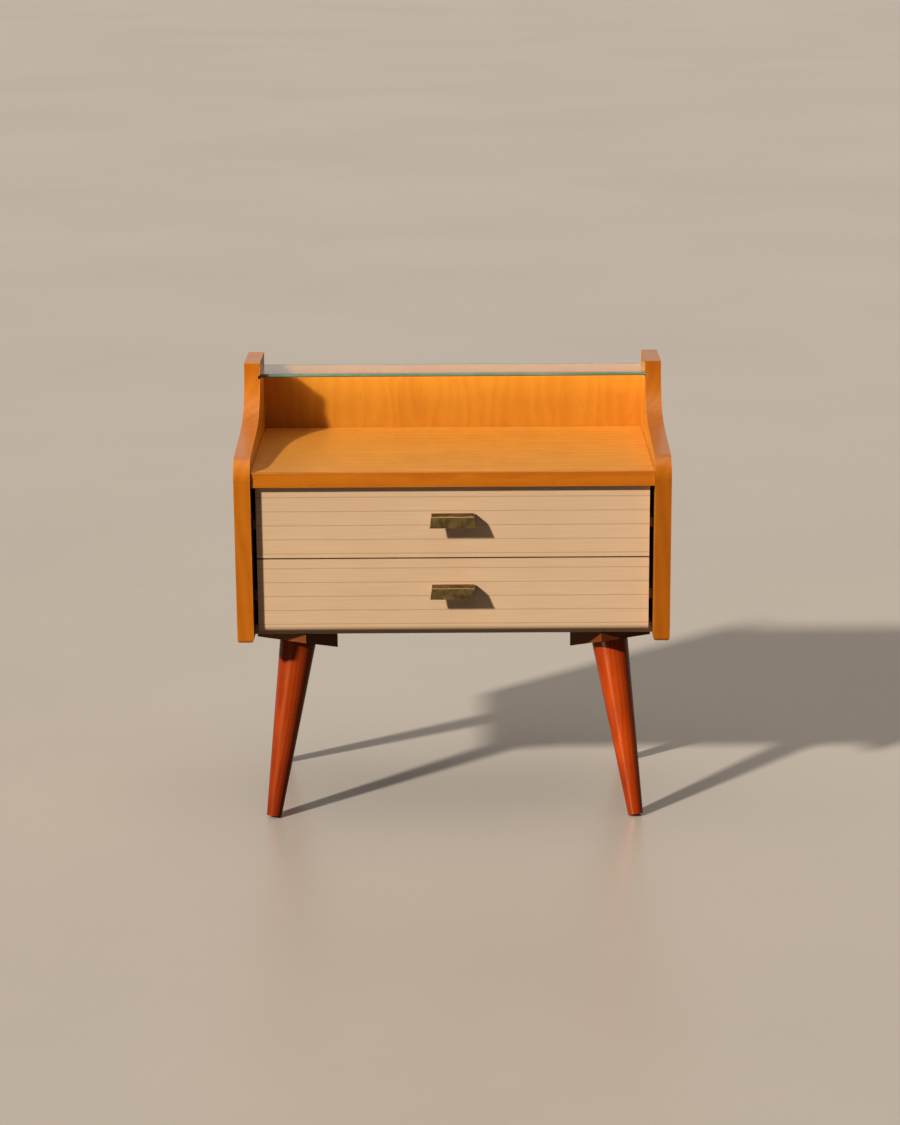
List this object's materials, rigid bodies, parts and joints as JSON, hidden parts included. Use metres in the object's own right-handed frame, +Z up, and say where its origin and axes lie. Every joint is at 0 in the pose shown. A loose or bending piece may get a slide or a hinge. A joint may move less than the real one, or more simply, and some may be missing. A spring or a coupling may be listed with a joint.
{
  "type": "nightstand with drawers",
  "caption": "Low bedside table with slanted drawer fronts, S-curved side panels, a glass shelf over an open shelf, and splayed round tapered legs.",
  "frame": {"origin": "on the floor, below the middle of the overall box", "axes": "+Z up, -Y out of the drawer fronts, +X to the right of someone facing them"},
  "size_m": [0.5, 0.3092, 0.513],
  "materials": {
    "honey_wood": "satin varnish",
    "plain_wood": "bare, waxed",
    "cream_laminate": "satin, fine brown pinstripes",
    "red_stained_wood": "semi-gloss stain",
    "dark_wood": "satin stain",
    "aged_brass": "patinated",
    "screw_steel": "plain",
    "clear_glass": "polished edges, green tint"
  },
  "bodies": {
    "carcass": {"side_panel_left": "honey_wood", "side_panel_right": "honey_wood", "shelf_board": "honey_wood", "shelf_lipping": "honey_wood", "back_panel": "honey_wood", "bottom_board": "plain_wood", "runner_upper_left": "plain_wood", "runner_upper_right": "plain_wood", "runner_lower_left": "plain_wood", "runner_lower_right": "plain_wood", "leg_block_front_left": "dark_wood", "leg_front_left": "red_stained_wood", "block_screw_front_left_left": "screw_steel", "block_screw_front_left_right": "screw_steel", "leg_block_front_right": "dark_wood", "leg_front_right": "red_stained_wood", "block_screw_front_right_left": "screw_steel", "block_screw_front_right_right": "screw_steel", "leg_block_rear_right": "dark_wood", "leg_rear_right": "red_stained_wood", "block_screw_rear_right_left": "screw_steel", "block_screw_rear_right_right": "screw_steel", "leg_block_rear_left": "dark_wood", "leg_rear_left": "red_stained_wood", "block_screw_rear_left_left": "screw_steel", "block_screw_rear_left_right": "screw_steel"},
    "upper_drawer": {"upper_drawer_front": "plain_wood", "upper_drawer_facing": "cream_laminate", "upper_drawer_side_left": "plain_wood", "upper_drawer_side_right": "plain_wood", "upper_drawer_back": "plain_wood", "upper_drawer_bottom": "plain_wood", "upper_handle": "aged_brass", "upper_handle_screw_left": "screw_steel", "upper_handle_screw_right": "screw_steel"},
    "lower_drawer": {"lower_drawer_front": "plain_wood", "lower_drawer_facing": "cream_laminate", "lower_drawer_side_left": "plain_wood", "lower_drawer_side_right": "plain_wood", "lower_drawer_back": "plain_wood", "lower_drawer_bottom": "plain_wood", "lower_handle": "aged_brass", "lower_handle_screw_left": "screw_steel", "lower_handle_screw_right": "screw_steel"},
    "glass": {"glass_shelf": "clear_glass"}
  },
  "joints": [
    {"name": "upper_drawer_slide", "type": "slide", "parent": "carcass", "child": "upper_drawer", "axis": [0, -1, 0], "range_m": [0, 0.2]},
    {"name": "lower_drawer_slide", "type": "slide", "parent": "carcass", "child": "lower_drawer", "axis": [0, -1, 0], "range_m": [0, 0.2]},
    {"name": "glass_shelf_slide", "type": "slide", "parent": "carcass", "child": "glass", "axis": [0, -1, 0], "range_m": [0, 0.06]}
  ]
}
